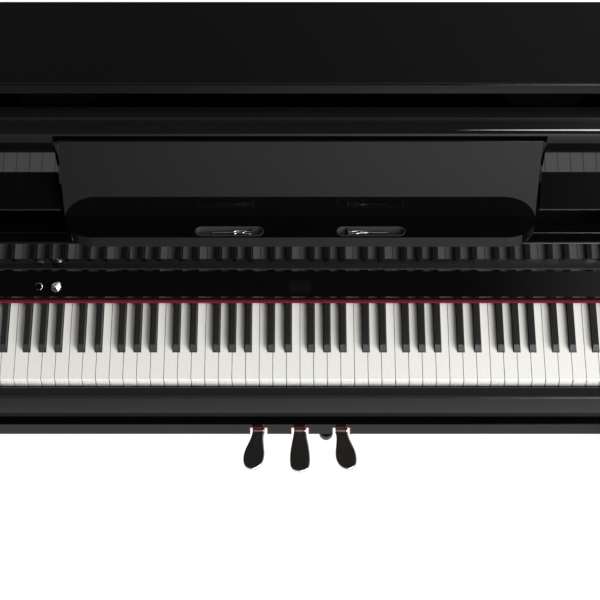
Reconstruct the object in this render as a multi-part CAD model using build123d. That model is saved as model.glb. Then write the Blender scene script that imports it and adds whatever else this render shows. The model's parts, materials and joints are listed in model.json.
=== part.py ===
from build123d import *
from math import atan2, cos, degrees, radians, sin
import os

# Upright digital piano in a console cabinet: lid propped open, key cover folded up.
# Frame: X to the right of the player, Y away from the player, Z up, floor at Z 0.
# Side profiles are (depth, height) points, with depth counted back from the white key fronts.
FRONT_DEPTH = -30.0
BACK_DEPTH = 478.0
DEPTH_TO_Y = -(FRONT_DEPTH + BACK_DEPTH) / 2

# Cabinet
LID_WIDTH = 1390.0
SIDE_OUTER_X = 690.0
SIDE_T = 25.0
SIDE_INNER_X = SIDE_OUTER_X - SIDE_T
ARM_INNER_X = 640.0
SIDE_FRONT = 222.0
SIDE_STEP = 195.0
ARM_HOLLOW = (187.0, 850.0)
ARM_REAR = (160.0, 814.0)
ARM_CROWN = (0.0, 780.0)
ARM_SHOULDER = (-21.5, 771.0)
ARM_NOSE_TOP = 752.0
LEG_FRONT = 240.0
LEG_DEPTH = 12.0
TOE_TOP = 66.0
FOOT_H = 6.0
SIDE_TOP = 1158.0
KEYBED_BOTTOM = 640.0
KEYBED_TOP = 669.0
RAIL_FRONT = 247.0
RAIL_T = 18.0
RAIL_BOTTOM = 29.0
RAIL_TOP = 75.0
BACK_PANEL_FRONT = 462.0
BACK_PANEL_T = 6.0

# Upper front, with the recess for the music rest
PANEL_FRONT = 236.0
PANEL_T = 20.0
PANEL_BOTTOM = 913.0
PANEL_TOP = 1118.0
PANEL_CREASE = 1028.0
STEP_NOSE = (199.4, 966.0)
STEP_UNDER = (206.0, 955.0)
STEP_BACK = 938.0
TOP_RAIL_T = 40.0
TOP_RAIL_ROUND = 38.0
RECESS_HALF = 402.0
RECESS_TOP = 1131.0
RECESS_BOTTOM = 930.0
RECESS_BACK = 250.0

# Keyboard: one octave of seven white keys is 164.9 wide
WHITE_COUNT = 52
WHITE_PITCH = 1225.0 / WHITE_COUNT
WHITE_GAP = 1.0
WHITE_TOP = 735.0
WHITE_H = 22.0
WHITE_HEAD = 54.0
KEY_REAR = 247.0
BLACK_FRONT = 55.0
BLACK_TOP = 747.0
BLACK_SLOPE = 8.0
BLACK_W = 11.0
BLACK_TOP_W = 9.4
BLACK_CLEAR = 1.2
BLACK_SHIFT = {"A": 4.0, "C": -3.0, "D": 3.0, "F": -4.0, "G": 0.0}
KEY_PIVOT = (238.0, 721.0)
KEY_ROD_R = 2.5
KEY_END_GAP = 0.6
KEY_BRACKET_T = 4.4
FIT = 0.05
KEYBOARD_HALF = WHITE_COUNT * WHITE_PITCH / 2
MOVING_OCTAVE = range(23, 30)

# Control panel slope, from its front lip up to the key cover
LIP = (150.0, 763.0)
SLOPE_TOP = (186.0, 789.5)
LIP_BOTTOM = 751.2
PANEL_SKIN = 5.0
FELT_BOTTOM = 748.0
POWER_X = -456.0
POWER_R = 6.5
KNOB_X = -426.0
KNOB_R = 9.4
KNOB_H = 5.2
KNOB_SHAFT_R = 3.0
CONTROL_ALONG = 18.0
DISPLAY_X = 0.4
DISPLAY_SIZE = (37.5, 21.5)
DISPLAY_ALONG = 17.3

# Folding key cover
COVER_HALF = 638.5
COVER_FRONT = 188.5
MAIN_T = 20.0
FLAP_T = 18.0
FOLD_GAP = 2.0
COVER_PIVOT = (189.5, 792.0)
MAIN_TOP = 879.0
FLAP_L = 87.0
FLAP_EDGE_T = 6.0
PIN_R = 1.5
PIN_CLEAR = 0.3
FOLD_PIN = (COVER_FRONT + MAIN_T + FOLD_GAP / 2, MAIN_TOP + 0.5)

# Music rest, leaning back from its ledge
REST_FOOT = (187.2, 965.1)
REST_LEAN = 14.7
REST_HALF = 394.0
REST_T = 12.0
REST_L = 168.4
REST_PIVOT = (6.0, 162.0)
REST_PIN_R = 3.0
LEDGE_DEPTH = 50.0
LEDGE_T = 21.0
SLOT_X = 118.0
SLOT_SIZE = (116.0, 24.0)
SLOT_DEPTH = 9.0
SLOT_Y = -34.4
HOLDER_PIVOT_X = 80.0
HOLDER_REACH = 66.0
AXLE_R = 1.5

# Top lid
LID_PIVOT = (466.0, 1161.0)
LID_CLOSED_BOTTOM = 1162.0
LID_T = 18.0
LID_FRONT = 208.5
LID_BACK = 469.0
LID_OPEN = 22.86
LID_ROD_R = 2.0
PROP_PIVOT = (394.0, 1140.0)
PROP_ANGLE = 75.0
PROP_L = 54.0
PROP_R = 5.0
PROP_T = 6.0
PROP_GAP = 4.0
PROP_PIN_R = 3.0

# Pedals
PEDAL_PITCH = 85.0
PEDAL_PIVOT = (318.0, 50.0)
PEDAL_BOTTOM = 44.0
PEDAL_T = 12.0
TREAD_T = 9.0
SHANK_HALF = 12.4
PEDAL_REAR = 330.0
CUTOUT_HALF = 20.0
CUTOUT_TOP = 61.0
FELT_T = 2.5

# Pedal treads in plan, (x, depth) from each pedal's own centre line; the right one mirrors the left
SIDE_TREAD = [(-12.4, 243), (-14.5, 232), (-25.5, 205), (-31.0, 181), (-25.5, 162), (-15.0, 157),
              (2.0, 163), (9.5, 174), (12.0, 205), (12.4, 243)]
MIDDLE_TREAD = [(-12.4, 243), (-13.9, 232), (-18.8, 205), (-20.8, 178), (-15.5, 157), (0.0, 152),
                (15.5, 157), (20.8, 178), (18.8, 205), (13.9, 232), (12.4, 243)]
PEDAL_PIN_R = 3.0
ADJUSTER = (54.0, 259.0)

# Loudspeakers
WOOFER_X = 380.0
WOOFER_Z = 380.0
WOOFER_R = 78.0
SPEAKER_X = 400.0
SPEAKER_R = 58.0
SPEAKER_DEPTH = 365.0
FLANGE_T = 0.05
CLOTH_T = 2.0
BAFFLE_TOP = 1100.0
BAFFLE_T = 12.0

# Electronics
SHELF_TOP = 712.0
SHELF_T = 12.0
BOARD_T = 1.6
STANDOFF_H = 8.0
INLET = (180.0, 228.0, 130.0, 160.0)
JACK_X = (-540.0, -505.0)
JACK_Z = 626.0
JACK_R = 3.25
JACK_L = 30.0

PARTS = "parts"
NODES = {}


def at(x, depth, z):
    """A location from keyboard depth."""
    return Pos(x, depth + DEPTH_TO_Y, z)


def block(x0, x1, d0, d1, z0, z1):
    """Box between two X, two depths and two heights."""
    return at((x0 + x1) / 2, (d0 + d1) / 2, (z0 + z1) / 2) * Box(x1 - x0, d1 - d0, z1 - z0)


def yz(depth, z):
    """Point in the plane that side profiles are drawn in."""
    return (0, depth + DEPTH_TO_Y, z)


def slab(profile, x0, x1):
    """Side profile, a list of (depth, height) or a closed wire, carried along X."""
    wire = profile
    if isinstance(profile, list):
        wire = Polyline(*[yz(d, z) for d, z in profile], close=True)
    return Pos(x0, 0, 0) * extrude(make_face(wire), x1 - x0, dir=(1, 0, 0))


def rod(point, radius, x0, x1):
    """Round bar along X through a (depth, height) point."""
    return at((x0 + x1) / 2, point[0], point[1]) * Rot(0, 90, 0) * Cylinder(radius, x1 - x0)


def disc(x, depth, z0, z1, radius):
    """Upright round bar."""
    return at(x, depth, (z0 + z1) / 2) * Cylinder(radius, z1 - z0)


def both_sides(solid):
    """A piece and its mirror image on the other side of the cabinet."""
    return [solid, mirror(solid, about=Plane.YZ)]


def keep(node, solids):
    """Name a sub-part made of one solid or several."""
    parts = solids if isinstance(solids, list) else [solids]
    NODES[node] = [piece for part in parts for piece in part.solids()]


def turned(solid, pivot, angle):
    """Turn a piece about an X line through a (depth, height) point."""
    return at(0, *pivot) * Rot(angle, 0, 0) * at(0, *pivot).inverse() * solid


def on_slope(x, along, out):
    """Location on the control panel: along the slope from its lip, out along its normal."""
    tilt = degrees(atan2(SLOPE_TOP[1] - LIP[1], SLOPE_TOP[0] - LIP[0]))
    return at(x, *LIP) * Rot(tilt, 0, 0) * Pos(0, along, out)


def on_rest(x, y, z):
    """Location in the music rest's own upright frame: y back, z up its face."""
    return at(x, *REST_FOOT) * Rot(-REST_LEAN, 0, 0) * Pos(0, y, z)


def rest_block(x0, x1, y0, y1, z0, z1):
    """Box in the music rest's own frame."""
    centre = ((y0 + y1) / 2, (z0 + z1) / 2)
    return on_rest((x0 + x1) / 2, *centre) * Box(x1 - x0, y1 - y0, z1 - z0)


def side_panels():
    profile = [(LEG_FRONT, FOOT_H), (BACK_DEPTH, FOOT_H), (BACK_DEPTH, SIDE_TOP), (SIDE_FRONT, SIDE_TOP),
               (SIDE_FRONT, PANEL_CREASE), (SIDE_STEP, STEP_NOSE[1]), (SIDE_STEP, PANEL_BOTTOM),
               (LEG_FRONT, PANEL_BOTTOM)]
    panel = slab(profile, SIDE_INNER_X, SIDE_OUTER_X)
    keep("side_panels", both_sides(panel))


def arms():
    rise = Wire([
        Edge.make_line(yz(FRONT_DEPTH, KEYBED_BOTTOM), yz(LEG_FRONT, KEYBED_BOTTOM)),
        Edge.make_line(yz(LEG_FRONT, KEYBED_BOTTOM), yz(LEG_FRONT, PANEL_BOTTOM)),
        Edge.make_line(yz(LEG_FRONT, PANEL_BOTTOM), yz(SIDE_STEP, PANEL_BOTTOM)),
        Edge.make_three_point_arc(yz(SIDE_STEP, PANEL_BOTTOM), yz(*ARM_HOLLOW), yz(*ARM_REAR)),
        Edge.make_line(yz(*ARM_REAR), yz(*ARM_CROWN)),
        Edge.make_three_point_arc(yz(*ARM_CROWN), yz(*ARM_SHOULDER), yz(FRONT_DEPTH, ARM_NOSE_TOP)),
        Edge.make_line(yz(FRONT_DEPTH, ARM_NOSE_TOP), yz(FRONT_DEPTH, KEYBED_BOTTOM)),
    ])
    arm = slab(rise, ARM_INNER_X, SIDE_OUTER_X)
    keep("arms", both_sides(arm))


def front_legs():
    middle = (ARM_INNER_X + SIDE_OUTER_X) / 2
    top = Plane(at(middle, LEG_DEPTH, KEYBED_BOTTOM)) * Rectangle(42, 50)
    bottom = Plane(at(middle, LEG_DEPTH, TOE_TOP)) * Rectangle(34, 38)
    keep("front_legs", both_sides(loft([bottom.face(), top.face()])))


def toe_blocks():
    toe = block(ARM_INNER_X, SIDE_OUTER_X, -22, LEG_FRONT, FOOT_H, TOE_TOP)
    nose = toe.edges().filter_by(Axis.X).group_by(Axis.Y)[0].sort_by(Axis.Z)[-1]
    keep("toe_blocks", both_sides(fillet(nose, 22)))


def floor_glides():
    spots = [(665, 6, 18), (665, 200, 18), (677.5, 450, 11)]
    glides = [disc(x, depth, 0, FOOT_H, radius) for x, depth, radius in spots]
    keep("floor_glides", [pad for glide in glides for pad in both_sides(glide)])


def back_panel():
    panel = block(-SIDE_INNER_X, SIDE_INNER_X, BACK_PANEL_FRONT, BACK_PANEL_FRONT + BACK_PANEL_T, 63, 1150)
    for x in (-WOOFER_X, WOOFER_X):
        panel -= at(x, BACK_PANEL_FRONT, WOOFER_Z) * Rot(90, 0, 0) * Cylinder(WOOFER_R, 40)
    x0, x1, z0, z1 = INLET
    panel -= block(x0, x1, 450, 480, z0, z1)
    keep("back_panel", panel)


def lower_cabinet():
    keep("lower_front_board", block(-SIDE_INNER_X, SIDE_INNER_X, 274, 289, RAIL_TOP, KEYBED_BOTTOM))
    rail_back = RAIL_FRONT + RAIL_T
    keep("bottom_board", block(-SIDE_INNER_X, SIDE_INNER_X, rail_back, BACK_PANEL_FRONT, 63, RAIL_TOP))
    rail = block(-SIDE_INNER_X, SIDE_INNER_X, RAIL_FRONT, rail_back, RAIL_BOTTOM, RAIL_TOP)
    rail = fillet(rail.edges().filter_by(Axis.X).group_by(Axis.Y)[0], 2)
    felts = []
    for x in (-PEDAL_PITCH, 0, PEDAL_PITCH):
        outer = block(x - CUTOUT_HALF, x + CUTOUT_HALF, RAIL_FRONT, rail_back, RAIL_BOTTOM, CUTOUT_TOP)
        inner = block(x - CUTOUT_HALF + FELT_T, x + CUTOUT_HALF - FELT_T, RAIL_FRONT, rail_back,
                      RAIL_BOTTOM, CUTOUT_TOP - FELT_T)
        rail -= outer
        felts.append(outer - inner)
    keep("pedal_rail", rail)
    keep("pedal_felts", felts)


def keybed():
    profile = [(-28, KEYBED_TOP), (-10, KEYBED_BOTTOM), (LEG_FRONT, KEYBED_BOTTOM), (LEG_FRONT, KEYBED_TOP)]
    front = slab(profile, -ARM_INNER_X, ARM_INNER_X)
    rear = block(-SIDE_INNER_X, SIDE_INNER_X, LEG_FRONT, 400, KEYBED_BOTTOM, KEYBED_TOP)
    keep("keybed", front + rear)


def keyslip():
    slip = block(-ARM_INNER_X, ARM_INNER_X, FRONT_DEPTH, -7, KEYBED_TOP, 725)
    slip = fillet(slip.edges().filter_by(Axis.X).group_by(Axis.Z)[-1], 4)
    keep("keyslip", slip)


def cheek_blocks():
    cheek = block(KEYBOARD_HALF + KEY_END_GAP, ARM_INNER_X, -7, LIP[0], KEYBED_TOP, 748)
    nose = cheek.edges().filter_by(Axis.X).group_by(Axis.Y)[0].sort_by(Axis.Z)[-1]
    keep("cheek_blocks", both_sides(fillet(nose, 10)))


def rest_brackets():
    """Ears with pins in the recess, which the music rest swings on."""
    place = on_rest(0, *REST_PIVOT).position
    depth = place.Y - DEPTH_TO_Y
    brackets = []
    for side in (-1, 1):
        inner, outer = sorted((side * (REST_HALF + 2), side * (REST_HALF + 7)))
        ear = block(inner, outer, depth - 5, RECESS_BACK, place.Z - 6, place.Z + 6)
        ends = sorted((side * (REST_HALF - 9), side * (REST_HALF + 3)))
        brackets.append(ear + rod((depth, place.Z), REST_PIN_R, *ends))
    return brackets


def upper_front():
    profile = [(PANEL_FRONT, PANEL_BOTTOM), (PANEL_FRONT + 4, PANEL_BOTTOM), (PANEL_FRONT + PANEL_T, 935),
               (PANEL_FRONT + PANEL_T, PANEL_TOP), (PANEL_FRONT, PANEL_TOP), (PANEL_FRONT, PANEL_CREASE),
               STEP_NOSE, STEP_UNDER, (PANEL_FRONT, STEP_BACK)]
    panel = slab(profile, -SIDE_INNER_X, SIDE_INNER_X)
    panel = fillet(panel.edges().filter_by(Axis.X).group_by(Axis.Y)[0], 5)
    sides = (-RECESS_HALF, RECESS_HALF)
    heights = (RECESS_BOTTOM, RECESS_TOP)
    through = block(*sides, SIDE_STEP, PANEL_FRONT + PANEL_T + 1, *heights)
    recess = block(*sides, SIDE_STEP, RECESS_BACK, *heights)
    keep("upper_front_panel", [panel - through, (panel & through) - recess] + rest_brackets())
    rail_back = PANEL_FRONT + TOP_RAIL_T
    rail = block(-SIDE_INNER_X, SIDE_INNER_X, PANEL_FRONT, rail_back, PANEL_TOP, SIDE_TOP)
    front_edge = rail.edges().filter_by(Axis.X).group_by(Axis.Y)[0].sort_by(Axis.Z)[-1]
    keep("top_rail", fillet(front_edge, TOP_RAIL_ROUND) - recess)


def speaker_solid(radius):
    """Loudspeaker on its own axis: flange just above 0, cone and magnet below."""
    points = [(0, -0.8), (0.45, -0.8), (0.45, -0.5), (0.93, -0.02), (0.93, 0), (1.12, 0), (1.12, FLANGE_T),
              (0.88, FLANGE_T), (0.25, -0.34), (0, -0.24)]
    profile = make_face(Polyline(*[(r * radius, 0, z * radius) for r, z in points], close=True))
    return revolve(profile, Axis.Z)


def speakers():
    baffle = block(-SIDE_INNER_X, SIDE_INNER_X, 270, BACK_PANEL_FRONT, BAFFLE_TOP - BAFFLE_T, BAFFLE_TOP)
    tops = []
    woofers = []
    cloths = []
    for x in (-1, 1):
        baffle -= disc(x * SPEAKER_X, SPEAKER_DEPTH, BAFFLE_TOP - 20, BAFFLE_TOP + 5, SPEAKER_R)
        tops.append(at(x * SPEAKER_X, SPEAKER_DEPTH, BAFFLE_TOP) * speaker_solid(SPEAKER_R))
        cloth_bottom = BAFFLE_TOP + FLANGE_T * SPEAKER_R
        cloth_top = cloth_bottom + CLOTH_T
        cloths.append(disc(x * SPEAKER_X, SPEAKER_DEPTH, cloth_bottom, cloth_top, SPEAKER_R + 14))
        mouth = at(x * WOOFER_X, BACK_PANEL_FRONT - FLANGE_T * WOOFER_R, WOOFER_Z) * Rot(-90, 0, 0)
        woofers.append(mouth * speaker_solid(WOOFER_R))
        cloth_place = at(x * WOOFER_X, BACK_PANEL_FRONT + BACK_PANEL_T + CLOTH_T / 2, WOOFER_Z)
        cloths.append(cloth_place * Rot(90, 0, 0) * Cylinder(WOOFER_R + 14, CLOTH_T))
    keep("speaker_baffle", baffle)
    keep("top_speakers", tops)
    keep("woofers", woofers)
    keep("grille_cloths", cloths)


def electronics():
    shelf_bottom = SHELF_TOP - SHELF_T
    keep("inner_shelf", block(-SIDE_INNER_X, SIDE_INNER_X, 300, BACK_PANEL_FRONT, shelf_bottom, SHELF_TOP))
    board_bottom = SHELF_TOP + STANDOFF_H
    top = board_bottom + BOARD_T
    board = block(-160, 120, 320, 440, board_bottom, top)
    for x in (-150, 110):
        for depth in (330, 430):
            board += disc(x, depth, SHELF_TOP, board_bottom, 4)
    for x, width, depth, size, height in ((-90, 60, 360, 44, 6), (20, 34, 350, 34, 4), (60, 50, 410, 20, 12)):
        board += block(x, x + width, depth, depth + size, top, top + height)
    keep("main_board", board)
    supply = block(220, 380, 330, 420, SHELF_TOP, SHELF_TOP + 46)
    keep("power_supply", fillet(supply.edges().filter_by(Axis.Z), 4))
    x0, x1, z0, z1 = INLET
    inlet = block(x0, x1, 438, 468, z0, z1) + block(x0 - 5, x1 + 5, 468, 470.5, z0 - 5, z1 + 5)
    inlet -= block(x0 + 10, x1 - 10, 448, 471, z0 + 5, z1 - 5)
    for dx in (-7, 0, 7):
        middle = (x0 + x1) / 2 + dx
        inlet += block(middle - 1, middle + 1, 447, 464, 142, 148)
    keep("power_inlet", inlet)
    box_front = 8
    box = block(-560, -480, box_front, 60, 612, KEYBED_BOTTOM)
    for x in JACK_X:
        box -= at(x, box_front + JACK_L / 2, JACK_Z) * Rot(90, 0, 0) * Cylinder(JACK_R, JACK_L)
    keep("jack_box", box)


def key_action():
    span = KEYBOARD_HALF + KEY_END_GAP
    base_top = KEYBED_TOP + 5
    frame = block(-span, span, 8, 262, KEYBED_TOP, base_top)
    frame += block(-span, span, 12, 40, base_top, 692)
    frame += block(-span, span, 236, 252, base_top, 711)
    solids = [frame]
    for side in (-1, 1):
        ends = sorted((side * span, side * (span + KEY_BRACKET_T)))
        bracket = block(*ends, 226, 250, KEYBED_TOP, 728)
        solids.append(bracket - rod(KEY_PIVOT, KEY_ROD_R, *ends))
    solids.append(rod(KEY_PIVOT, KEY_ROD_R, -span - KEY_BRACKET_T, span + KEY_BRACKET_T))
    keep("key_frame", solids)
    sensor_top = base_top + 2
    sensors = block(-span, span, 100, 150, base_top, sensor_top)
    centres = [(index + 0.5) * WHITE_PITCH - KEYBOARD_HALF for index in range(WHITE_COUNT)]
    domes = [disc(x, 125, sensor_top, sensor_top + 4, 5) for x in centres]
    keep("key_sensor_board", sensors + domes)


def letter(index):
    """Note letter of a white key, counted from the lowest one."""
    return "ABCDEFG"[index % 7]


def black_centre(index):
    """Middle of the black key after a white key, or None where there isn't one."""
    if letter(index) not in BLACK_SHIFT or index < 0 or index >= WHITE_COUNT - 1:
        return None
    return (index + 1) * WHITE_PITCH - KEYBOARD_HALF + BLACK_SHIFT[letter(index)]


def white_key(index):
    left = index * WHITE_PITCH - KEYBOARD_HALF + WHITE_GAP / 2
    right = left + WHITE_PITCH - WHITE_GAP
    margin = BLACK_W / 2 + BLACK_CLEAR
    before = black_centre(index - 1)
    after = black_centre(index)
    tail_left = left if before is None else max(left, before + margin)
    tail_right = right if after is None else min(right, after - margin)
    head = block(left, right, 0, WHITE_HEAD, WHITE_TOP - WHITE_H, WHITE_TOP)
    front = head.edges().group_by(Axis.Y)[0]
    lip = front.filter_by(Axis.X).sort_by(Axis.Z)[-1:] + front.filter_by(Axis.Z)
    tail = block(tail_left, tail_right, WHITE_HEAD, KEY_REAR, WHITE_TOP - WHITE_H, WHITE_TOP)
    key = fillet(lip, 1.4) + tail
    return key - rod(KEY_PIVOT, KEY_ROD_R + FIT, left, right)


def key_plan(centre, half, front, z):
    """Level face of a black key, from one depth back to its rear end."""
    corners = [(-half, front), (half, front), (half, KEY_REAR), (-half, KEY_REAR)]
    return make_face(Plane(at(centre, 0, z)) * Polyline(*corners, close=True)).face()


def black_key(index):
    centre = black_centre(index)
    half = BLACK_W / 2
    top_half = BLACK_TOP_W / 2
    bottom = WHITE_TOP - WHITE_H
    cap_bottom = WHITE_TOP + 1
    body = block(centre - half, centre + half, BLACK_FRONT, KEY_REAR, bottom, cap_bottom)
    foot = key_plan(centre, half, BLACK_FRONT, cap_bottom)
    crown = key_plan(centre, top_half, BLACK_FRONT + BLACK_SLOPE, BLACK_TOP)
    cap = loft([foot, crown])
    top_edges = cap.edges().group_by(Axis.Z)[-1]
    rims = [edge for edge in top_edges if edge.center().Y < KEY_REAR + DEPTH_TO_Y - 1]
    key = body + fillet(rims, 1.3)
    return key - rod(KEY_PIVOT, KEY_ROD_R + FIT, centre - half, centre + half)


def keys():
    whites = []
    blacks = []
    for index in range(WHITE_COUNT):
        moving = index in MOVING_OCTAVE
        name = letter(index).lower() + "4"
        if moving:
            keep("key_" + name, white_key(index))
        else:
            whites.append(white_key(index))
        if black_centre(index) is None:
            continue
        if moving:
            keep("key_" + letter(index).lower() + "_sharp4", black_key(index))
        else:
            blacks.append(black_key(index))
    keep("white_keys", whites)
    keep("black_keys", blacks)


def control_panel():
    skin = PANEL_SKIN
    profile = [(LIP[0], LIP_BOTTOM), LIP, SLOPE_TOP, (SLOPE_TOP[0], SLOPE_TOP[1] - skin - 1.5),
               (LIP[0] + skin + 1, LIP[1] - 2), (LIP[0] + skin + 1, LIP_BOTTOM)]
    panel = slab(profile, -ARM_INNER_X, ARM_INNER_X)
    width, height = DISPLAY_SIZE
    window = on_slope(DISPLAY_X, DISPLAY_ALONG, 0) * Box(width, height, 2)
    panel -= window
    panel -= on_slope(POWER_X, CONTROL_ALONG, 0) * Cylinder(POWER_R + 0.3, 30)
    panel -= on_slope(KNOB_X, CONTROL_ALONG, 0) * Cylinder(KNOB_SHAFT_R + FIT, 30)
    keep("control_panel", panel)
    keep("display_window", on_slope(DISPLAY_X, DISPLAY_ALONG, -0.35) * Box(width - 0.4, height - 0.4, 1.3))
    button = on_slope(POWER_X, CONTROL_ALONG, -2.5) * Cylinder(POWER_R, 10)
    keep("power_button", fillet(button.edges().filter_by(GeomType.CIRCLE).sort_by(Axis.Z)[-1], 0.8))
    knob = on_slope(KNOB_X, CONTROL_ALONG, KNOB_H / 2 + 0.4) * Cylinder(KNOB_R, KNOB_H)
    knob = chamfer(knob.edges().filter_by(GeomType.CIRCLE).sort_by(Axis.Z)[-1], 1.4)
    keep("volume_knob", knob + on_slope(KNOB_X, CONTROL_ALONG, -5) * Cylinder(KNOB_SHAFT_R, 12))
    felt_half = KEYBOARD_HALF + 0.5
    keep("name_felt", block(-felt_half, felt_half, 145.5, 176, FELT_BOTTOM, LIP_BOTTOM))


def key_cover():
    rear = COVER_FRONT + MAIN_T
    main = block(-COVER_HALF, COVER_HALF, COVER_FRONT, rear, COVER_PIVOT[1] - 0.5, MAIN_TOP)
    main -= rod(COVER_PIVOT, PIN_R + PIN_CLEAR, -COVER_HALF - 1, COVER_HALF + 1)
    front_top = main.edges().filter_by(Axis.X).group_by(Axis.Z)[-1].sort_by(Axis.Y)[0]
    main = fillet(front_top, 3)
    main -= rod(FOLD_PIN, PIN_R + PIN_CLEAR, -COVER_HALF - 1, COVER_HALF + 1)
    pin = rod(FOLD_PIN, PIN_R, -COVER_HALF + 2, COVER_HALF - 2)
    keep("fallboard_main", [main, pin])
    inner = rear + FOLD_GAP
    outer = inner + FLAP_T
    profile = [(inner, MAIN_TOP), (outer, MAIN_TOP), (outer, MAIN_TOP - 30),
               (inner + FLAP_EDGE_T, MAIN_TOP - FLAP_L), (inner, MAIN_TOP - FLAP_L)]
    flap = slab(profile, -COVER_HALF, COVER_HALF)
    flap = fillet(flap.edges().filter_by(Axis.X).group_by(Axis.Z)[-1].sort_by(Axis.Y)[-1], 3)
    keep("fallboard_flap", flap - rod(FOLD_PIN, PIN_R + PIN_CLEAR, -COVER_HALF - 1, COVER_HALF + 1))


def music_rest():
    panel = rest_block(-REST_HALF, REST_HALF, 0, REST_T, -LEDGE_T, REST_L)
    pivot = on_rest(0, *REST_PIVOT) * Rot(0, 90, 0)
    holes = pivot * Cylinder(REST_PIN_R + FIT, 2 * REST_HALF + 2)
    holes -= pivot * Cylinder(REST_PIN_R + 1, 2 * REST_HALF - 24)
    panel = fillet(panel.edges().filter_by(Axis.X).group_by(Axis.Z)[-1], 2)
    keep("music_rest_panel", panel - holes)
    plan = [(-REST_HALF, 0), (-REST_HALF, -LEDGE_DEPTH), (REST_HALF, -LEDGE_DEPTH), (REST_HALF, 0)]
    outline = make_face(Polyline(*[(x, y, 0) for x, y in plan], close=True))
    corners = outline.vertices().group_by(Axis.Y)[0]
    outline = fillet(corners, LEDGE_DEPTH - 1)
    ledge = on_rest(0, 0, -LEDGE_T) * extrude(outline, LEDGE_T)
    for side in (-1, 1):
        length, width = SLOT_SIZE
        slot = extrude(SlotOverall(length, width), SLOT_DEPTH + 1)
        ledge -= on_rest(side * SLOT_X, SLOT_Y, -SLOT_DEPTH) * slot
        ledge -= holder_axle(side, AXLE_R)
    keep("music_ledge", ledge)
    for side, node in ((-1, "page_holder_left"), (1, "page_holder_right")):
        keep(node, page_holder(side))


def holder_axle(side, radius):
    """Axle of a page holder, along the ledge's depth."""
    place = on_rest(side * HOLDER_PIVOT_X, SLOT_Y, -SLOT_DEPTH / 2)
    return place * Rot(90, 0, 0) * Cylinder(radius, SLOT_SIZE[1] + 3)


def page_holder(side):
    """Spring clip folded down in its slot, its axle across the slot."""
    place = on_rest(side * HOLDER_PIVOT_X, SLOT_Y, -SLOT_DEPTH / 2)
    tip = side * HOLDER_REACH
    arm = Pos(tip * 0.5, 0, 0) * Box(HOLDER_REACH, 3, 3)
    loop_points = [(0, 5), (tip * 0.25, 5), (tip * 0.55, 1.5), (tip * 0.55, -1.5), (tip * 0.25, 2), (0, 2)]
    loop = extrude(make_face(Polyline(*[(x, y, -1.5) for x, y in loop_points], close=True)), 3)
    hub = Rot(90, 0, 0) * Cylinder(3.6, 13)
    axle = holder_axle(side, AXLE_R - FIT)
    return place * (arm + loop + hub) + axle


def lid():
    closed = block(-LID_WIDTH / 2, LID_WIDTH / 2, LID_FRONT, LID_BACK, LID_CLOSED_BOTTOM,
                   LID_CLOSED_BOTTOM + LID_T)
    top = closed.edges().group_by(Axis.Z)[-1]
    closed = fillet(top, 3)
    closed -= rod(LID_PIVOT, LID_ROD_R + PIN_CLEAR, -LID_WIDTH, LID_WIDTH)
    keep("top_lid", turned(closed, LID_PIVOT, -LID_OPEN))
    angle = radians(PROP_ANGLE)
    x0 = -SIDE_INNER_X + PROP_GAP
    tip = (PROP_PIVOT[0] - PROP_L * cos(angle), PROP_PIVOT[1] + PROP_L * sin(angle))
    middle = ((PROP_PIVOT[0] + tip[0]) / 2, (PROP_PIVOT[1] + tip[1]) / 2)
    x1 = x0 + PROP_T
    bar = at((x0 + x1) / 2, *middle) * Rot(90 - PROP_ANGLE, 0, 0) * Box(PROP_T, 2 * PROP_R, PROP_L)
    prop = bar + rod(PROP_PIVOT, PROP_R, x0, x1) + rod(tip, PROP_R, x0, x1)
    keep("lid_prop", prop - rod(PROP_PIVOT, PROP_PIN_R + FIT, x0 - 1, x1 + 1))


def hinge_pins():
    pins = [rod(LID_PIVOT, LID_ROD_R, -640, 640), rod(COVER_PIVOT, PIN_R, -ARM_INNER_X, ARM_INNER_X)]
    pins.append(rod(PROP_PIVOT, PROP_PIN_R, -SIDE_INNER_X, -SIDE_INNER_X + 12))
    for x in (-500, -170, 170, 500):
        leaf = block(x - 30, x + 30, 455, BACK_PANEL_FRONT, 1120, 1156)
        neck = block(x - 30, x + 30, 458, 466, 1150, LID_PIVOT[1] - LID_ROD_R + 0.4)
        pins.append(leaf + neck)
    keep("hinge_pins", pins)


def pedal(outline, centre):
    """Pedal from the plan outline of its tread, a list of (x, depth) points."""
    points = [(x + centre, depth + DEPTH_TO_Y) for x, depth in outline]
    plan = make_face([Spline(*points), Line(points[-1], points[0])])
    tread = Pos(0, 0, PEDAL_BOTTOM) * extrude(plan, TREAD_T)
    rim = tread.edges().group_by(Axis.Z)[-1].sort_by(Axis.Y)[0]
    tread = fillet(rim, 2.5)
    shank_front = outline[0][1]
    shank = block(centre - SHANK_HALF, centre + SHANK_HALF, shank_front, PEDAL_REAR,
                  PEDAL_BOTTOM, PEDAL_BOTTOM + PEDAL_T)
    return tread + shank - rod(PEDAL_PIVOT, PEDAL_PIN_R + FIT, centre - 30, centre + 30)


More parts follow.
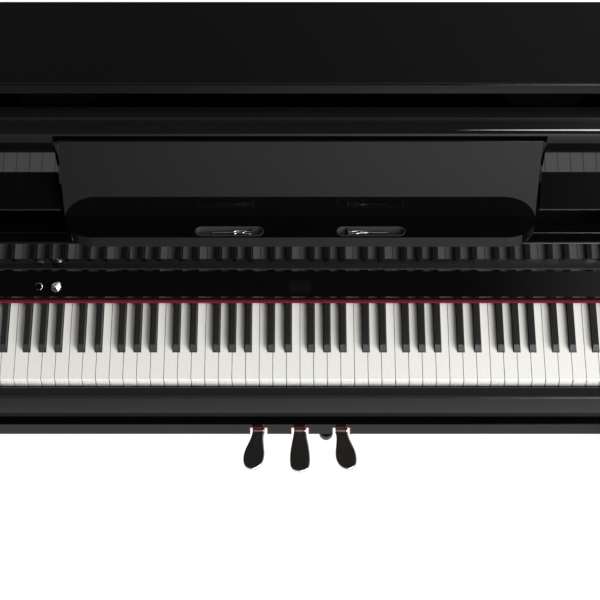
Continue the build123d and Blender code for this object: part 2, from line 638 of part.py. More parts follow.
def pedals():
    mirrored = [(-x, depth) for x, depth in reversed(SIDE_TREAD)]
    keep("pedal_left", pedal(SIDE_TREAD, -PEDAL_PITCH))
    keep("pedal_middle", pedal(MIDDLE_TREAD, 0))
    keep("pedal_right", pedal(mirrored, PEDAL_PITCH))
    bracket = block(-112, 112, 304, 334, 59, 63)
    springs = []
    for centre in (-PEDAL_PITCH, 0, PEDAL_PITCH):
        for x0, x1 in ((-22, -19), (19, 22)):
            bracket += block(centre + x0, centre + x1, 308, 328, 40, 59)
        bracket += rod(PEDAL_PIVOT, PEDAL_PIN_R, centre - 22, centre + 22)
        coil = rod(PEDAL_PIVOT, 5.2, centre + 13.2, centre + 18.2)
        springs.append(coil - rod(PEDAL_PIVOT, PEDAL_PIN_R + 0.3, centre + 13, centre + 19))
    keep("pedal_bracket", bracket)
    keep("pedal_springs", springs)
    foot = disc(*ADJUSTER, 0, 8, 11) + disc(*ADJUSTER, 8, 20, 14) + disc(*ADJUSTER, 20, RAIL_BOTTOM, 4)
    keep("adjuster_foot", foot)


def main():
    for make in (side_panels, arms, front_legs, toe_blocks, floor_glides, back_panel, lower_cabinet, keybed,
                 keyslip, cheek_blocks, upper_front, speakers, electronics, key_action, keys, control_panel,
                 key_cover, music_rest, lid, hinge_pins, pedals):
        make()
    os.makedirs(PARTS, exist_ok=True)
    for node, solids in NODES.items():
        shape = solids[0] if len(solids) == 1 else Compound(children=solids)
        export_step(shape, PARTS + "/" + node + ".step")
    print(len(NODES), "sub-parts")


main()
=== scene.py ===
# Looks, light and camera for the console digital piano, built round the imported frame.
import json
import math

import bmesh
import bpy
from mathutils import Matrix, Vector

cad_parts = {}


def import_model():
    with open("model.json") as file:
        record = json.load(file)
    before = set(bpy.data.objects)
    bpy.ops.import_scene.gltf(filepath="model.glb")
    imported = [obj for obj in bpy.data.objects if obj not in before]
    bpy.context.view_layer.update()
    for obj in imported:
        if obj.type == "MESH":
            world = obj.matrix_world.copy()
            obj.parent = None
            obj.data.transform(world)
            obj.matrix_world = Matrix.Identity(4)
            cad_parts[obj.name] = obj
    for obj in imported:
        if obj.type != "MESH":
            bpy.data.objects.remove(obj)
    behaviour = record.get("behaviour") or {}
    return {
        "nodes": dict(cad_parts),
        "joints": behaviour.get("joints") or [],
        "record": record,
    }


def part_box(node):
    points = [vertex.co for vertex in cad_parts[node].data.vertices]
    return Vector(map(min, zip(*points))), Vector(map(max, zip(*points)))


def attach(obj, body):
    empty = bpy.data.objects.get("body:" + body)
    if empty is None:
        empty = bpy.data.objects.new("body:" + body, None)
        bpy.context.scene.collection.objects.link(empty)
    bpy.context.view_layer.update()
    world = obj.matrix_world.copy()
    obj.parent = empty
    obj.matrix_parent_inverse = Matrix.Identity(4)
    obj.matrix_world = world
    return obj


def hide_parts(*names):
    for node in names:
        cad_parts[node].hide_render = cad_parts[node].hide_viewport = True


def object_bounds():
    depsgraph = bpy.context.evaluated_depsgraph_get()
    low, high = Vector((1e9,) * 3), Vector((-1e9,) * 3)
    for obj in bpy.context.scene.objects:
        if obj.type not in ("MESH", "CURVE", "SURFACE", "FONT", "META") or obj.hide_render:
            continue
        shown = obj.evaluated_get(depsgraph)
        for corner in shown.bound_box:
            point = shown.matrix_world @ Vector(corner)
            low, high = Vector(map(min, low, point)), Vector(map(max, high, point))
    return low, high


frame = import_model()
CAD_BOX = [list(corner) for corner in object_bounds()]
MM = 0.001
JOINTS = {joint["name"]: joint for joint in frame["joints"]}
JACKS_X = [mount["pos_m"][0] for mount in frame["record"]["mounts"] if mount["name"].startswith("headphone_jack")]
PANEL_MID = (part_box("display_window")[0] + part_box("display_window")[1]) / 2


# ---------------------------------------------------------------- node helpers

class Shader:
    """A material with one Principled shader and short names for its nodes."""

    def __init__(self, name, colour, roughness, **sockets):
        self.material = bpy.data.materials.new(name)
        self.material.use_nodes = True
        self.tree = self.material.node_tree
        self.principled = self.tree.nodes["Principled BSDF"]
        self.set("Base Color", (*colour, 1.0))
        self.set("Roughness", roughness)
        for socket, value in sockets.items():
            self.set(socket.replace("_", " "), value)

    def set(self, socket, value):
        self.principled.inputs[socket].default_value = value

    def node(self, kind, settings=None, **inputs):
        made = self.tree.nodes.new(kind)
        for name, value in (settings or {}).items():
            setattr(made, name, value)
        for name, value in inputs.items():
            socket = made.inputs[name.replace("_", " ")]
            if isinstance(value, bpy.types.NodeSocket):
                self.tree.links.new(value, socket)
            else:
                socket.default_value = value
        return made

    def link(self, output, socket):
        self.tree.links.new(output, self.principled.inputs[socket])

    def place(self, scale=(1, 1, 1)):
        """Object coordinates in metres, scaled."""
        coordinates = self.node("ShaderNodeTexCoord").outputs["Object"]
        mapping = self.node("ShaderNodeMapping", Vector=coordinates, Scale=scale)
        return mapping.outputs["Vector"]

    def noise(self, scale, detail=3.0, where=None):
        where = where or self.place()
        return self.node("ShaderNodeTexNoise", Vector=where, Scale=scale, Detail=detail).outputs["Fac"]

    def wave(self, scale, direction, profile="SIN", distortion=0.0):
        settings = {"wave_type": "BANDS", "bands_direction": direction, "wave_profile": profile}
        return self.node("ShaderNodeTexWave", settings, Vector=self.place(), Scale=scale,
                         Distortion=distortion).outputs["Fac"]

    def between(self, value, low, high, start=0.0, end=1.0):
        """A number that runs from low to high as value runs from start to end."""
        ranged = self.node("ShaderNodeMapRange", Value=value)
        for name, number in (("From Min", start), ("From Max", end), ("To Min", low), ("To Max", high)):
            ranged.inputs[name].default_value = number
        return ranged.outputs["Result"]

    def blend(self, factor, first, second):
        """Colour mixed from two colours."""
        mix = self.node("ShaderNodeMix", {"data_type": "RGBA"})
        self.tree.links.new(factor, mix.inputs["Factor"])
        mix.inputs["A"].default_value = (*first, 1.0)
        mix.inputs["B"].default_value = (*second, 1.0)
        return mix.outputs["Result"]

    def product(self, first, second):
        multiply = self.node("ShaderNodeMath", {"operation": "MULTIPLY"})
        self.tree.links.new(first, multiply.inputs[0])
        self.tree.links.new(second, multiply.inputs[1])
        return multiply.outputs["Value"]

    def bump(self, height, depth):
        bump = self.node("ShaderNodeBump", Height=height, Distance=depth, Strength=1.0)
        self.link(bump.outputs["Normal"], "Normal")


# ---------------------------------------------------------------- materials

def lacquer(name="black_lacquer", specular=0.5, base=0.0018):
    """Black polyester lacquer: mirror gloss, a trace of waviness and fine dust."""
    shader = Shader(name, (base, base, base), 0.03, IOR=1.5, Specular_IOR_Level=specular)
    dust = shader.noise(420.0, 6.0)
    shader.link(shader.between(dust, 0.02, 0.06, 0.45, 0.8), "Roughness")
    shader.link(shader.blend(shader.between(dust, 0.0, 1.0, 0.5, 0.85), (base, base, base),
                             (base + 0.002, base + 0.002, base + 0.0018)), "Base Color")
    shader.bump(shader.noise(9.0, 1.0), 0.00004)
    return shader.material


def satin_board():
    """Satin black paint over board, with the faint texture of a roller."""
    shader = Shader("satin_black_board", (0.012, 0.012, 0.012), 0.55)
    grain = shader.noise(650.0, 4.0)
    shader.link(shader.between(grain, 0.5, 0.68), "Roughness")
    shader.link(shader.blend(shader.noise(14.0, 3.0), (0.009, 0.009, 0.009), (0.016, 0.016, 0.015)), "Base Color")
    shader.bump(grain, 0.0002)
    return shader.material


def white_keytop():
    """Cream-white key covering, faintly mottled, with a silky polish."""
    shader = Shader("white_key_covering", (0.8, 0.79, 0.745), 0.28, IOR=1.49)
    mottle = shader.noise(38.0, 4.0)
    grain = shader.noise(60.0, 5.0, shader.place((9.0, 0.5, 1.0)))
    shader.link(shader.blend(shader.product(mottle, grain), (0.83, 0.82, 0.78), (0.76, 0.745, 0.69)),
                "Base Color")
    shader.link(shader.between(grain, 0.2, 0.36), "Roughness")
    shader.bump(grain, 0.00003)
    return shader.material


def black_keytop():
    """Matt black key covering with fine moulded grain."""
    shader = Shader("black_key_covering", (0.012, 0.012, 0.012), 0.42, IOR=1.49)
    grain = shader.noise(900.0, 4.0, shader.place((1.0, 0.25, 1.0)))
    shader.link(shader.between(grain, 0.36, 0.5), "Roughness")
    shader.link(shader.blend(grain, (0.009, 0.009, 0.009), (0.018, 0.017, 0.016)), "Base Color")
    shader.bump(grain, 0.00012)
    return shader.material


def felt():
    """Dark red wool felt."""
    shader = Shader("red_wool_felt", (0.22, 0.008, 0.018), 0.95, Sheen_Weight=0.1, Sheen_Roughness=0.5,
                    Specular_IOR_Level=0.1)
    fibres = shader.noise(1500.0, 6.0)
    shader.link(shader.blend(fibres, (0.075, 0.002, 0.006), (0.19, 0.008, 0.018)), "Base Color")
    shader.bump(fibres, 0.0006)
    return shader.material


def chrome():
    """Polished chrome with hairline polish marks."""
    shader = Shader("polished_chrome", (0.78, 0.78, 0.79), 0.08, Metallic=1.0)
    hairs = shader.noise(300.0, 5.0, shader.place((1.0, 12.0, 1.0)))
    shader.link(shader.between(hairs, 0.05, 0.13), "Roughness")
    shader.link(shader.blend(shader.noise(45.0), (0.8, 0.8, 0.81), (0.7, 0.7, 0.72)), "Base Color")
    return shader.material


def turned_metal():
    """Bright metal faced on a lathe, so that highlights draw out along the radius."""
    shader = Shader("lathe_turned_metal", (0.85, 0.85, 0.86), 0.25, Metallic=1.0, Anisotropic=0.85,
                    Anisotropic_Rotation=0.25)
    tangent = shader.node("ShaderNodeTangent", {"direction_type": "RADIAL", "axis": "Z"})
    shader.link(tangent.outputs["Tangent"], "Tangent")
    shader.link(shader.between(shader.noise(700.0), 0.2, 0.32), "Roughness")
    shader.link(shader.blend(shader.noise(400.0), (0.88, 0.88, 0.89), (0.78, 0.78, 0.8)), "Base Color")
    return shader.material


def pedal_plate():
    """Bright nickel plating with light shoe scuffs."""
    shader = Shader("pedal_plating", (0.62, 0.6, 0.58), 0.12, Metallic=1.0)
    scuffs = shader.noise(90.0, 6.0, shader.place((3.0, 1.0, 1.0)))
    shader.link(shader.between(scuffs, 0.2, 0.26, 0.35, 0.75), "Roughness")
    shader.link(shader.blend(scuffs, (0.8, 0.76, 0.72), (0.72, 0.68, 0.64)), "Base Color")
    shader.bump(scuffs, 0.00001)
    return shader.material


def plated_steel():
    """Zinc-plated steel."""
    shader = Shader("zinc_plated_steel", (0.55, 0.55, 0.56), 0.3, Metallic=1.0)
    grain = shader.noise(240.0, 5.0, shader.place((0.3, 3.0, 1.0)))
    shader.link(shader.between(grain, 0.22, 0.42), "Roughness")
    shader.link(shader.blend(grain, (0.5, 0.5, 0.52), (0.64, 0.64, 0.63)), "Base Color")
    return shader.material


def display_glass():
    """Dark window of the small display, a little lighter than the lacquer round it."""
    shader = Shader("display_window_glass", (0.003, 0.003, 0.0032), 0.06, IOR=1.5)
    shader.link(shader.blend(shader.wave(420.0, "X"), (0.0025, 0.0026, 0.003), (0.0045, 0.0046, 0.005)),
                "Base Color")
    shader.link(shader.between(shader.noise(200.0), 0.04, 0.1), "Roughness")
    return shader.material


def moulded(name, colour, roughness, scale=700.0, depth=0.00015, specular=0.5):
    """Moulded plastic or rubber with a fine spark-eroded texture."""
    shader = Shader(name, colour, roughness, Specular_IOR_Level=specular)
    grain = shader.noise(scale, 4.0)
    darker = tuple(0.75 * channel for channel in colour)
    shader.link(shader.blend(grain, darker, tuple(1.25 * channel for channel in colour)), "Base Color")
    shader.link(shader.between(grain, roughness - 0.08, roughness + 0.08), "Roughness")
    shader.bump(grain, depth)
    return shader.material


def circuit_board():
    """Green solder mask with paler copper runs under it."""
    shader = Shader("circuit_board_mask", (0.01, 0.09, 0.03), 0.3)
    runs = shader.product(shader.wave(70.0, "X", "SAW", 3.0), shader.wave(90.0, "Y", "SAW", 2.0))
    shader.link(shader.blend(shader.between(runs, 0.0, 1.0, 0.25, 0.3), (0.008, 0.07, 0.025), (0.03, 0.17, 0.06)),
                "Base Color")
    shader.link(shader.between(runs, 0.25, 0.4), "Roughness")
    return shader.material


def speaker_cloth():
    """Black speaker cloth, woven one over one."""
    shader = Shader("woven_speaker_cloth", (0.004, 0.004, 0.004), 0.9, Specular_IOR_Level=0.05)
    weave = shader.product(shader.wave(160.0, "X"), shader.wave(160.0, "Z"))
    # Painted shade: the cloth's black is taken darker than the cloth's own, so the cloth in the gap under the lid reads
    # as shade. The weave is the cloth's own.
    shader.link(shader.blend(weave, (0.0015, 0.0015, 0.0015), (0.009, 0.009, 0.0085)), "Base Color")
    shader.link(shader.between(weave, 0.95, 0.75), "Roughness")
    shader.bump(weave, 0.0006)
    return shader.material


def print_ink():
    """Pale grey ink of the small marks on the control panel."""
    shader = Shader("grey_ink", (0.5, 0.5, 0.48), 0.5)
    shader.link(shader.between(shader.noise(2500.0), 0.4, 0.6), "Roughness")
    shader.link(shader.blend(shader.noise(3000.0), (0.42, 0.42, 0.4), (0.56, 0.56, 0.54)), "Base Color")
    return shader.material


LACQUER = lacquer()
CHROME = chrome()
STEEL = plated_steel()
BLACK_PLASTIC = moulded("black_moulded_plastic", (0.014, 0.014, 0.014), 0.5)
TRAY = moulded("grey_moulded_tray", (0.03, 0.03, 0.031), 0.6, specular=0.15)
BRUSHED = turned_metal()
RUBBER = moulded("black_rubber", (0.02, 0.02, 0.019), 0.8, 500.0)
INK = print_ink()
FINISHES = {
    "ebony_lacquer": LACQUER,
    "black_board": satin_board(),
    "white_keytop": white_keytop(),
    "black_keytop": black_keytop(),
    "action_plastic": moulded("grey_action_plastic", (0.05, 0.05, 0.055), 0.5),
    "circuit_board": circuit_board(),
    "plated_steel": STEEL,
    "chrome_trim": CHROME,
    "pedal_chrome": pedal_plate(),
    "display_glass": display_glass(),
    "red_felt": felt(),
    "speaker_cloth": speaker_cloth(),
    "speaker_body": moulded("speaker_paper", (0.02, 0.02, 0.021), 0.75, 250.0, 0.0004),
    "black_plastic": BLACK_PLASTIC,
    "rubber": RUBBER,
}
# Painted shade: the speaker baffle's own black is taken far darker, with its reflection nearly gone, so the gap under
# the lid reads as shade.
SHADE = moulded("painted_shade_black", (0.0012, 0.0012, 0.0012), 0.9, specular=0.02)
NODE_FINISHES = {
    "pedal_rail": lacquer("shaded_lacquer", 0.08),
    # Painted light: the keyslip's and the top rail's lacquers are lighter copies of the black lacquer, their colour
    # raised so these parts look lit.
    "keyslip": lacquer("painted_light_lacquer", 0.4, 0.013),
    "top_rail": lacquer("rail_lacquer", 0.35, 0.005),
    "speaker_baffle": SHADE,
    "hinge_pins": moulded("blackened_steel", (0.006, 0.006, 0.006), 0.45),
}


def finish_cad_nodes():
    """Each CAD node takes the finish of its material slot, or one of its own."""
    for part in frame["record"]["subparts"]:
        node = part["node"]
        mesh = frame["nodes"][node].data
        mesh.materials.clear()
        mesh.materials.append(NODE_FINISHES.get(node, FINISHES[part["material_slot"]]))


finish_cad_nodes()


# ---------------------------------------------------------------- mesh helpers

RIGHT = Vector((1.0, 0.0, 0.0))
LEDGE_BACK = Vector(JOINTS["left_clip_flip"]["axis"])
SLOPE_OUT = Vector(JOINTS["volume_turn"]["axis"])


def axes(origin, normal, across=RIGHT):
    """Matrix that stands a piece built round Z on a surface with that normal."""
    up = Vector(normal).normalized()
    side = (Vector(across) - up * Vector(across).dot(up)).normalized()
    back = up.cross(side)
    turn = Matrix((side, back, up)).transposed().to_4x4()
    return Matrix.Translation(Vector(origin)) @ turn


def piece(name, data, material, body, place=Matrix.Identity(4)):
    made = bpy.data.objects.new(name, data)
    made.matrix_world = place
    data.materials.append(material)
    bpy.context.scene.collection.objects.link(made)
    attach(made, body)
    return made


def to_mesh(name, mesh, smooth=True):
    data = bpy.data.meshes.new(name)
    bmesh.ops.recalc_face_normals(mesh, faces=mesh.faces)
    for face in mesh.faces:
        face.smooth = smooth
    mesh.to_mesh(data)
    mesh.free()
    return data


def turn_profile(mesh, profile, place=Matrix.Identity(4), steps=32):
    """Solid of revolution round Z from a closed list of (radius, height)."""
    rings = []
    for step in range(steps):
        angle = 2 * math.pi * step / steps
        rings.append([mesh.verts.new(place @ Vector((r * math.cos(angle), r * math.sin(angle), z)))
                      for r, z in profile])
    for step, ring in enumerate(rings):
        following = rings[(step + 1) % steps]
        for index in range(len(profile)):
            after = (index + 1) % len(profile)
            mesh.faces.new((ring[index], following[index], following[after], ring[after]))


def capsule(half_length, radius, z, steps=12):
    """Outline of a slot with round ends, counter-clockwise, at one height."""
    points = []
    for centre, start in ((half_length - radius, -90.0), (radius - half_length, 90.0)):
        for step in range(steps + 1):
            angle = math.radians(start + 180.0 * step / steps)
            points.append(Vector((centre + radius * math.cos(angle), radius * math.sin(angle), z)))
    return points


def loft_rings(mesh, outlines):
    """Closed solid through a list of outlines with equal numbers of points."""
    rings = [[mesh.verts.new(point) for point in outline] for outline in outlines]
    for low, high in zip(rings, rings[1:]):
        for index in range(len(low)):
            after = (index + 1) % len(low)
            mesh.faces.new((low[index], low[after], high[after], high[index]))
    mesh.faces.new(rings[0])
    mesh.faces.new(rings[-1])


def wire(name, paths, radius):
    """Bent round wire through lists of points, as one curve object's data."""
    data = bpy.data.curves.new(name, "CURVE")
    data.dimensions = "3D"
    data.bevel_depth = radius
    data.bevel_resolution = 4
    data.use_fill_caps = True
    data.resolution_u = 8
    for path in paths:
        spline = data.splines.new("BEZIER")
        spline.bezier_points.add(len(path) - 1)
        for knot, (x, y, z) in zip(spline.bezier_points, path):
            knot.co = (x, y, z)
            knot.handle_left_type = knot.handle_right_type = "AUTO"
    return data


# ---------------------------------------------------------------- detail pieces

SLOT_DEPTH = 9.0 * MM
SLOT_FROM_PIVOT = 38.0 * MM
CLIP_REACH = 66.0
CLIP_WIRE_RADIUS = 1.3 * MM
KNOB_FACE_RADIUS = 8.0 * MM
KNOB_RIDGES = 40
SCREW_INSET = 12.0 * MM
HINGE_END_GAP = 55.0 * MM
KNUCKLES = 32
KNUCKLE_GAP = 0.4 * MM
BUMPER_INSET = 12.5 * MM
BUMPER_DEPTHS = (30.0 * MM, 130.0 * MM)
PIN_PITCH = 7.0
PIN_SETBACK = 22.0 * MM


def page_clips():
    """A grey tray in each slot of the ledge, and in it a sprung wire clip."""
    ledge_up = RIGHT.cross(LEDGE_BACK)
    for side, name in ((-1, "left"), (1, "right")):
        pivot = Vector(JOINTS[name + "_clip_flip"]["pos_m"])
        top = pivot + ledge_up * SLOT_DEPTH / 2
        centre = top + RIGHT * side * SLOT_FROM_PIVOT
        tray = bmesh.new()
        outlines = [(57.6, 11.6, -8.9), (57.6, 11.6, 0.0), (57.2, 11.2, 0.35), (56.0, 10.0, 0.2),
                    (55.4, 9.4, -0.6), (55.0, 9.0, -7.9), (53.5, 7.5, -8.4)]
        loft_rings(tray, [capsule(a * MM, r * MM, z * MM) for a, r, z in outlines])
        piece(name + "_clip_tray", to_mesh(name + "_clip_tray", tray), TRAY, "music_rest",
              axes(centre, ledge_up))
        out = CLIP_REACH * side
        bar = [(out, 0, 0.4), (out * 0.62, 0, 0.9), (out * 0.5, 0.4, 1.2)]
        loop = [(out * 0.5, 0.4, 1.2), (out * 0.4, 3.2, 1.6), (out * 0.24, 3.6, 1.6), (out * 0.1, 1.8, 1.2),
                (0, 0, 0.9), (out * 0.16, -3.2, 1.2), (out * 0.3, -1.6, 1.6), (out * 0.5, 0.4, 1.2)]
        zigzag = [(out * 0.44, -3.0, 0.6), (out * 0.34, 1.2, 1.4), (out * 0.26, -1.4, 1.6), (out * 0.16, 2.4, 1.0)]
        place = axes(pivot, ledge_up)
        scaled = [[Vector(point) * MM for point in path] for path in (bar, loop, zigzag)]
        clip = piece(name + "_clip_wire", wire(name + "_clip_wire", scaled, CLIP_WIRE_RADIUS), CHROME,
                     name + "_page_clip", place)
        hub = bmesh.new()
        along = Matrix.Rotation(math.radians(90.0), 4, "X")
        shape = [(1.2, -9.0), (3.4, -8.6), (3.4, -5.6), (2.6, -5.0), (2.6, 5.0), (3.4, 5.6), (3.4, 8.6), (1.2, 9.0)]
        turn_profile(hub, [(r * MM, z * MM) for r, z in shape], along)
        piece(name + "_clip_hub", to_mesh(name + "_clip_hub", hub), BLACK_PLASTIC, name + "_page_clip",
              place)
        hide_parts("page_holder_" + name)


def outer_face(node, joint, radius=None):
    """The middle of a control's outer face: its axis taken up to the height of its node's highest rim.

    The radius is that of the outer face, which is the node's own half width unless it is given.
    """
    low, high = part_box(node)
    start = Vector(JOINTS[joint].get("pos_m", (low + high) / 2))
    rim = (radius or (high.x - low.x) / 2) * abs(SLOPE_OUT.y)
    return start + SLOPE_OUT * ((high.z - rim - start.z) / SLOPE_OUT.z)


def turned_cap(name, node, body, joint, profile, radius=None):
    """A turned cap on the outer face of a control, on the axis of its joint."""
    mesh = bmesh.new()
    turn_profile(mesh, [(r * MM, z * MM) for r, z in profile], steps=64)
    piece(name, to_mesh(name, mesh), BRUSHED, body, axes(outer_face(node, joint, radius), SLOPE_OUT))


def controls():
    """Caps on the power button and the volume knob, and the ridges round the knob."""
    turned_cap("button_cap", "power_button", "power_push", "power_press",
               [(0.0001, -0.3), (5.4, -0.3), (5.4, 0.1), (5.1, 0.35), (3.6, 0.42), (3.4, 0.2), (0.0001, 0.12)])
    turned_cap("knob_cap", "volume_knob", "volume_dial", "volume_turn",
               [(0.0001, -0.6), (7.6, -0.6), (7.6, 0.0), (7.3, 0.25), (2.6, 0.3), (2.2, 0.6), (0.0001, 0.7)],
               KNOB_FACE_RADIUS)
    grip = bmesh.new()
    for step in range(KNOB_RIDGES):
        turn = Matrix.Rotation(2 * math.pi * step / KNOB_RIDGES, 4, "Z")
        corners = [(9.3, -0.3, -4.2), (9.75, 0.0, -4.2), (9.3, 0.3, -4.2)]
        bottom = [grip.verts.new(turn @ Vector(corner) * MM) for corner in corners]
        top = [grip.verts.new(turn @ Vector((x, y, -1.6)) * MM) for x, y, z in corners]
        for a, b in ((0, 1), (1, 2), (2, 0)):
            grip.faces.new((bottom[a], bottom[b], top[b], top[a]))
        grip.faces.new(bottom)
        grip.faces.new(top)
    piece("knob_grip", to_mesh("knob_grip", grip, False), CHROME, "volume_dial",
          axes(outer_face("volume_knob", "volume_turn", KNOB_FACE_RADIUS), SLOPE_OUT))


def panel_marks():
    """Plain printed dots: two above each of the two controls and three below the knob."""
    dot = [(0.1 * MM, 0.0), (0.75 * MM, 0.0), (0.7 * MM, 0.06 * MM), (0.1 * MM, 0.08 * MM)]
    for name, node, heights in (("button_mark", "power_button", (12.0,)), ("knob_marks", "volume_knob", (13.5, -12.5))):
        low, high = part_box(node)
        foot = Vector(((low.x + high.x) / 2, PANEL_MID.y, PANEL_MID.z))
        marks = bmesh.new()
        for height in heights:
            for shift in ((-2.0, 0.0, 2.0) if height < 0 else (-1.2, 1.2)):
                spot = Matrix.Translation(Vector((shift, height, 0.05)) * MM)
                turn_profile(marks, dot, spot, 12)
        piece(name, to_mesh(name, marks), INK, "cabinet", axes(foot, SLOPE_OUT))


def screws():
    """Pan-head screws round the back panel."""
    low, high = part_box("back_panel")
    heads = bmesh.new()
    spots = []
    for column in range(7):
        x = low.x + SCREW_INSET + (high.x - low.x - 2 * SCREW_INSET) * column / 6
        spots += [(x, low.z + SCREW_INSET), (x, high.z - SCREW_INSET)]
    for row in range(1, 6):
        z = low.z + (high.z - low.z) * row / 6
        spots += [(low.x + SCREW_INSET, z), (high.x - SCREW_INSET, z)]
    for x, z in spots:
        place = axes((x, high.y, z), (0.0, 1.0, 0.0))
        turn_profile(heads, [(0.3 * MM, 0.0), (3.8 * MM, 0.0), (3.7 * MM, 1.0 * MM), (2.8 * MM, 1.9 * MM),
                             (1.5 * MM, 2.2 * MM), (1.3 * MM, 1.0 * MM), (0.3 * MM, 0.9 * MM)], place, 20)
    piece("back_screws", to_mesh("back_screws", heads), STEEL, "cabinet")


def hinge_knuckles():
    """Knuckles of the long lid hinge, alternately on the cabinet and on the lid."""
    hinge = Vector(JOINTS["lid_hinge"]["pos_m"])
    along = Matrix.Rotation(math.radians(90.0), 4, "Y")
    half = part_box("side_panels")[1].x - HINGE_END_GAP
    pitch = 2 * half / KNUCKLES
    for parity, body in ((0, "cabinet"), (1, "lid")):
        mesh = bmesh.new()
        for index in range(parity, KNUCKLES, 2):
            middle = Vector((-half + pitch * (index + 0.5), hinge.y, hinge.z))
            reach = pitch / 2 - KNUCKLE_GAP
            turn_profile(mesh, [(2.05 * MM, -reach), (2.9 * MM, -reach), (3.1 * MM, -reach + 0.2 * MM),
                                (3.1 * MM, reach - 0.2 * MM), (2.9 * MM, reach), (2.05 * MM, reach)],
                         Matrix.Translation(middle) @ along, 20)
        piece("hinge_knuckles_" + body, to_mesh("hinge_knuckles_" + body, mesh), STEEL, body)


def jack_rings():
    """Plated nut round each headphone jack."""
    low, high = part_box("jack_box")
    rings = bmesh.new()
    for x in JACKS_X:
        place = axes((x, low.y, (low.z + high.z) / 2), (0.0, -1.0, 0.0))
        turn_profile(rings, [(3.4 * MM, 0.0), (5.6 * MM, 0.0), (5.4 * MM, 1.0 * MM), (4.4 * MM, 1.6 * MM),
                             (3.6 * MM, 1.6 * MM), (3.4 * MM, 1.3 * MM)], place, 24)
    piece("jack_rings", to_mesh("jack_rings", rings), CHROME, "cabinet")


def lid_bumpers():
    """Soft buttons on the sides' top edges, where the closed lid comes to rest."""
    low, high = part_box("side_panels")
    buttons = bmesh.new()
    for x in (low.x + BUMPER_INSET, high.x - BUMPER_INSET):
        for y in BUMPER_DEPTHS:
            turn_profile(buttons, [(0.1 * MM, 0.0), (5.0 * MM, 0.0), (4.8 * MM, 2.0 * MM), (3.6 * MM, 3.2 * MM),
                                   (0.1 * MM, 3.6 * MM)], Matrix.Translation((x, y, high.z)), 24)
    piece("lid_bumpers", to_mesh("lid_bumpers", buttons), RUBBER, "cabinet")


def inlet_pins():
    """Three flat contacts of the mains inlet."""
    low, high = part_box("power_inlet")
    middle = (low + high) / 2
    pins = bmesh.new()
    for dx in (-PIN_PITCH, 0.0, PIN_PITCH):
        place = axes((middle.x + dx * MM, high.y - PIN_SETBACK, middle.z), (0.0, 1.0, 0.0), (0.0, 0.0, 1.0))
        outlines = [capsule(3.4 * MM, 1.25 * MM, 0.0, 6), capsule(3.4 * MM, 1.25 * MM, 15.2 * MM, 6),
                    capsule(2.8 * MM, 0.8 * MM, 16.0 * MM, 6)]
        before = len(pins.verts)
        loft_rings(pins, outlines)
        pins.verts.ensure_lookup_table()
        bmesh.ops.transform(pins, matrix=place, verts=pins.verts[before:])
    piece("inlet_pins", to_mesh("inlet_pins", pins), STEEL, "cabinet")


for make in (page_clips, controls, panel_marks, screws, hinge_knuckles, jack_rings, lid_bumpers, inlet_pins):
    make()


# ---------------------------------------------------------------- studio

KEYS_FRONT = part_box("key_c4")[0].y
CAMERA_BACK = 1.7575
CAMERA_HEIGHT = 4.055
CAMERA_TILT = math.radians(60.0)
SENSOR_WIDTH = 36.0
CAMERA_FOCAL = 2176.0 / 600.0 * SENSOR_WIDTH
FLOOR_HALF_SIZE = 9.0
FLOOR_GAP = 0.5 * MM


def camera():
    """A long lens looking steeply down from in front of the keyboard's middle."""
    data = bpy.data.cameras.new("camera")
    data.lens = CAMERA_FOCAL
    data.sensor_width = SENSOR_WIDTH
    data.clip_end = 50.0
    view = bpy.data.objects.new("camera", data)
    view.location = (0.0, KEYS_FRONT - CAMERA_BACK, CAMERA_HEIGHT)
    view.rotation_euler = (math.pi / 2 - CAMERA_TILT, 0.0, 0.0)
    bpy.context.scene.collection.objects.link(view)
    bpy.context.scene.camera = view


def softbox(name, location, target, size, power):
    """White rectangular area light aimed at a point."""
    data = bpy.data.lights.new(name, "AREA")
    data.shape = "RECTANGLE"
    data.size, data.size_y = size
    data.energy = power
    lamp = bpy.data.objects.new(name, data)
    lamp.location = location
    aim = Vector(target) - Vector(location)
    lamp.rotation_euler = aim.to_track_quat("-Z", "Y").to_euler()
    bpy.context.scene.collection.objects.link(lamp)


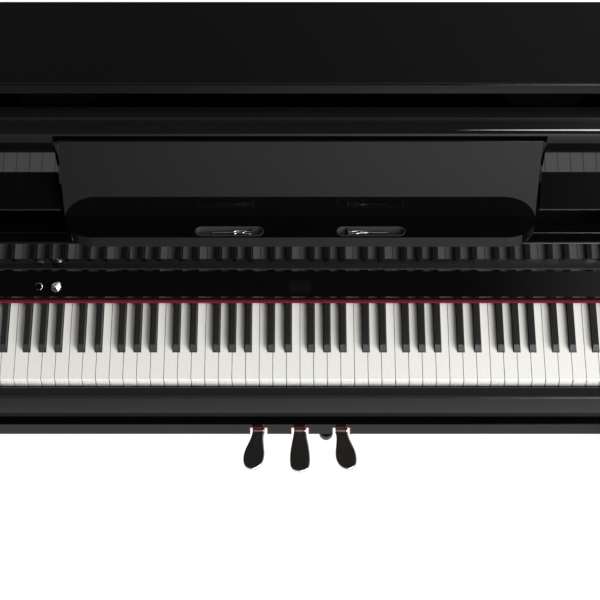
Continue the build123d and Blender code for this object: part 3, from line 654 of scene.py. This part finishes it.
def world():
    """A dim room: lighter overhead and to the right, dark towards the horizon behind."""
    room = bpy.data.worlds.new("room")
    room.use_nodes = True
    bpy.context.scene.world = room
    tree = room.node_tree
    background = tree.nodes["Background"]
    direction = tree.nodes.new("ShaderNodeTexCoord").outputs["Generated"]
    split = tree.nodes.new("ShaderNodeSeparateXYZ")
    tree.links.new(direction, split.inputs["Vector"])
    background.inputs["Color"].default_value = (1.0, 1.0, 1.0, 1.0)

    def ramp(axis, start, end, low, high):
        """A strength that runs from low to high as the direction's axis part runs from start to end."""
        ranged = tree.nodes.new("ShaderNodeMapRange")
        ranged.interpolation_type = "SMOOTHSTEP"
        tree.links.new(split.outputs[axis], ranged.inputs["Value"])
        for name, number in (("From Min", start), ("From Max", end), ("To Min", low), ("To Max", high)):
            ranged.inputs[name].default_value = number
        return ranged.outputs["Result"]

    def join(operation, first, second):
        """Two outputs put together by one Math node."""
        maths = tree.nodes.new("ShaderNodeMath")
        maths.operation = operation
        tree.links.new(first, maths.inputs[0])
        tree.links.new(second, maths.inputs[1])
        return maths.outputs["Value"]

    sky = join("MULTIPLY", ramp("Z", 0.35, 0.95, 0.08, 0.44), ramp("X", -0.1, 0.3, 0.65, 1.7))
    rear = join("MULTIPLY", sky, ramp("Y", -0.64, -0.25, 0.0, 1.0))
    right_glow = join("MULTIPLY", ramp("X", 0.07, 0.3, 0.0, 1.6), ramp("Y", -0.35, -0.05, 1.0, 0.0))
    upper_glow = join("MULTIPLY", right_glow, ramp("Z", -0.05, 0.5, 0.15, 1.0))
    tree.links.new(join("ADD", rear, upper_glow), background.inputs["Strength"])


def floor():
    """Pale floor, one broad sheet. Its colour darkens to the left and towards the piano, as painted shade.

    From under the front of the piano backwards it also gives off light of its own, as painted light that keeps the
    floor bright in the piano's shadow.
    """
    mesh = bmesh.new()
    bmesh.ops.create_grid(mesh, x_segments=8, y_segments=8, size=FLOOR_HALF_SIZE)
    data = bpy.data.meshes.new("studio_floor")
    mesh.to_mesh(data)
    mesh.free()
    sheet = bpy.data.objects.new("studio_floor", data)
    sheet.location = (0.0, 0.0, CAD_BOX[0][2] - FLOOR_GAP)
    bpy.context.scene.collection.objects.link(sheet)
    shader = Shader("pale_floor", (0.5, 0.5, 0.5), 0.9, Emission_Color=(1.0, 1.0, 1.0, 1.0))
    across = shader.node("ShaderNodeSeparateXYZ", Vector=shader.place())
    painted_light_rightwards = shader.between(across.outputs["X"], 0.3, 0.95, -0.8, 0.8)
    painted_shade_towards_piano = shader.between(across.outputs["Y"], 0.75, 0.35, KEYS_FRONT - 1.9, KEYS_FRONT - 0.4)
    # Painted shade: the floor's colour darkens to the left and towards the piano, in place of the light's falloff and
    # the piano's shadow.
    shader.link(shader.blend(shader.product(painted_light_rightwards, painted_shade_towards_piano), (0.045, 0.045, 0.045), (0.62, 0.62, 0.62)),
                "Base Color")
    # Painted light: from just in front of the piano backwards the floor glows, so it stays bright in the piano's
    # shadow.
    shader.link(shader.between(across.outputs["Y"], 0.0, 0.95, KEYS_FRONT - 0.4, KEYS_FRONT - 0.16),
                "Emission Strength")
    data.materials.append(shader.material)


def studio():
    camera()
    world()
    floor()
    keys = (0.0, KEYS_FRONT, 0.8)
    softbox("right_softbox", (2.4, -2.0, 3.0), keys, (2.2, 2.2), 140.0)
    softbox("far_floor_light", (1.8, -5.6, 2.0), (0.5, -5.2, 0.0), (2.0, 2.0), 300.0)
    bpy.context.scene.view_settings.view_transform = "Standard"


studio()
